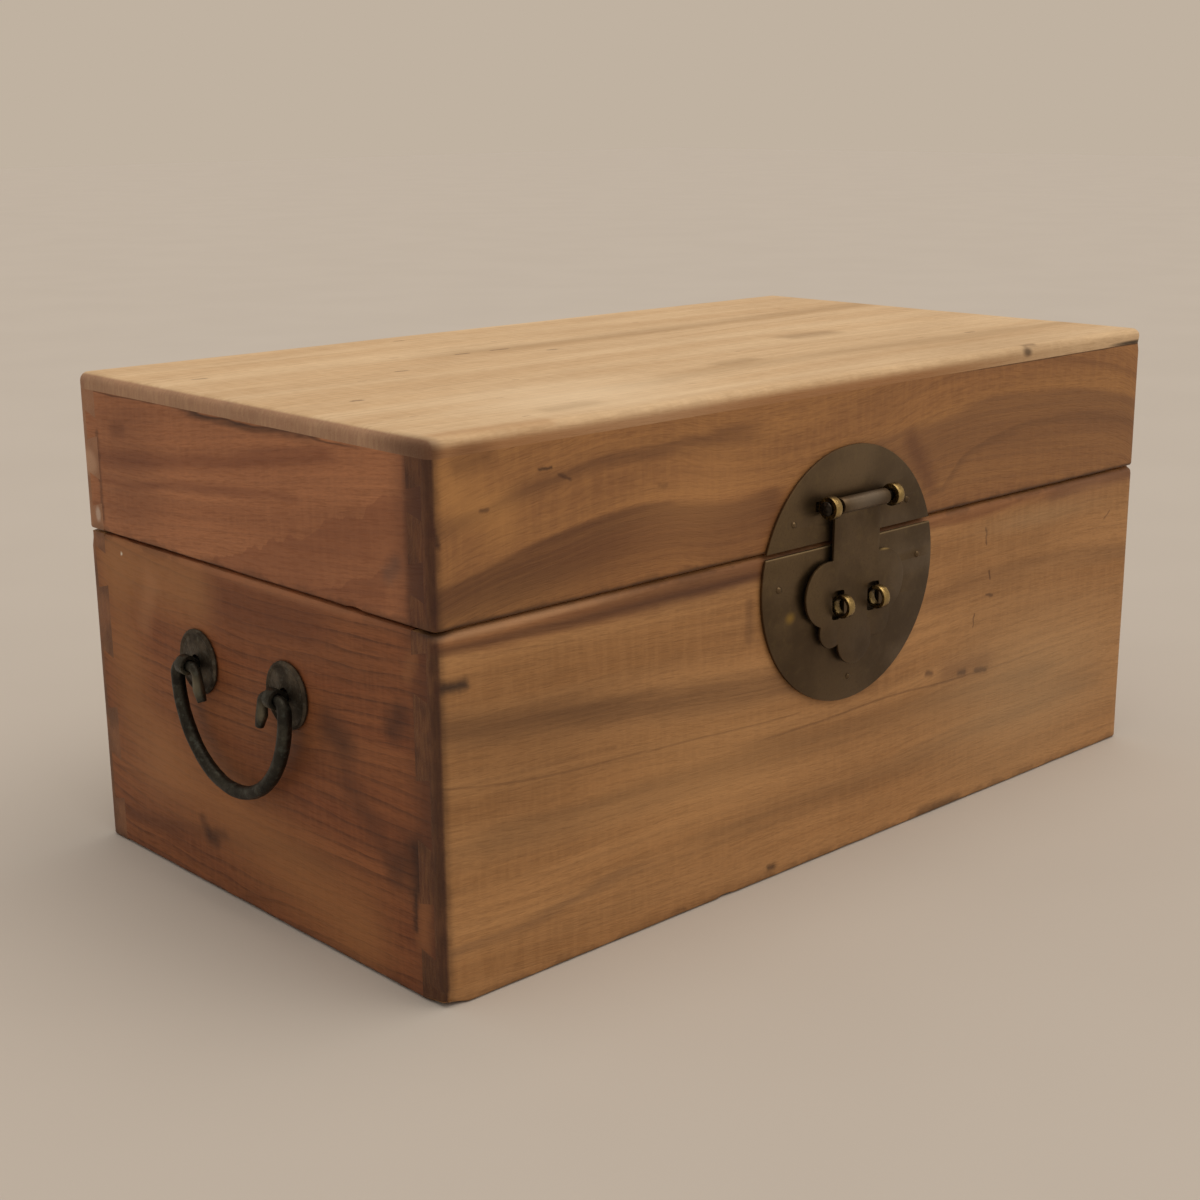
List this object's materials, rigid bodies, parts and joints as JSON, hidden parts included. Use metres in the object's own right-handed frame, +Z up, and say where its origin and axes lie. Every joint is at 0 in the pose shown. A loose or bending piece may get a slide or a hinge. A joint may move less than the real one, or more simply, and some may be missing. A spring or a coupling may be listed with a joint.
{
  "type": "camphor wood trunk",
  "caption": "Camphor wood trunk with lapped dovetail corners, a lid hinged at the back, a round split brass lock plate with a swinging hasp over ring staples, and a bail handle on each end.",
  "frame": {"origin": "middle of the box's flat underside, on the surface it stands on", "axes": "+X along the front to the viewer's right, -Y out of the front, +Z up"},
  "size_m": [0.4196, 0.2379, 0.19],
  "materials": {
    "camphor_front": "worn satin",
    "camphor_end": "worn satin",
    "camphor_top": "worn matt",
    "plate_brass": "aged satin",
    "ring_brass": "handled",
    "handle_bronze": "dark patina"
  },
  "bodies": {
    "base": {"front_board": "camphor_front", "back_board": "camphor_front", "bottom_board": "camphor_front", "left_end_board": "camphor_end", "right_end_board": "camphor_end", "front_rim_strip": "camphor_end", "lock_plate_lower": "plate_brass", "hinge_leaf_base_left": "plate_brass", "hinge_leaf_base_right": "plate_brass", "lock_nail_lower_left": "ring_brass", "lock_nail_lower_right": "ring_brass", "lock_nail_bottom": "ring_brass", "hinge_nail_base_left_1": "ring_brass", "hinge_nail_base_left_2": "ring_brass", "hinge_nail_base_left_3": "ring_brass", "hinge_nail_base_right_1": "ring_brass", "hinge_nail_base_right_2": "ring_brass", "hinge_nail_base_right_3": "ring_brass", "staple_left": "ring_brass", "staple_right": "ring_brass", "hinge_pin_left": "ring_brass", "hinge_pin_right": "ring_brass", "left_rosette_front": "handle_bronze", "left_rosette_back": "handle_bronze", "left_eye_front": "handle_bronze", "left_eye_back": "handle_bronze", "right_rosette_front": "handle_bronze", "right_rosette_back": "handle_bronze", "right_eye_front": "handle_bronze", "right_eye_back": "handle_bronze"},
    "lid": {"lid_front_board": "camphor_front", "lid_back_board": "camphor_front", "lid_left_end_board": "camphor_end", "lid_right_end_board": "camphor_end", "lid_top_board": "camphor_top", "lock_plate_upper": "plate_brass", "hinge_leaf_lid_left": "plate_brass", "hinge_leaf_lid_right": "plate_brass", "lock_nail_upper_left": "ring_brass", "lock_nail_upper_right": "ring_brass", "hinge_nail_lid_left_1": "ring_brass", "hinge_nail_lid_left_2": "ring_brass", "hinge_nail_lid_left_3": "ring_brass", "hinge_nail_lid_right_1": "ring_brass", "hinge_nail_lid_right_2": "ring_brass", "hinge_nail_lid_right_3": "ring_brass", "hasp_eye_left": "ring_brass", "hasp_eye_right": "ring_brass", "hasp_pin": "ring_brass"},
    "hasp": {"hasp": "plate_brass"},
    "left_bail": {"left_bail": "handle_bronze"},
    "right_bail": {"right_bail": "handle_bronze"}
  },
  "joints": [
    {"name": "lid_hinge", "type": "hinge", "parent": "base", "child": "lid", "pos_m": [0, 0.1133, 0.12825], "axis": [-1, 0, 0], "range_deg": [0, 110]},
    {"name": "hasp_swing", "type": "hinge", "parent": "lid", "child": "hasp", "pos_m": [0, -0.1164, 0.1425], "axis": [-1, 0, 0], "range_deg": [0, 170]},
    {"name": "left_bail_swing", "type": "hinge", "parent": "base", "child": "left_bail", "pos_m": [-0.2061, 0.0027, 0.09], "axis": [0, 1, 0], "range_deg": [-4, 170]},
    {"name": "right_bail_swing", "type": "hinge", "parent": "base", "child": "right_bail", "pos_m": [0.2061, 0.0027, 0.09], "axis": [0, -1, 0], "range_deg": [-4, 170]}
  ]
}
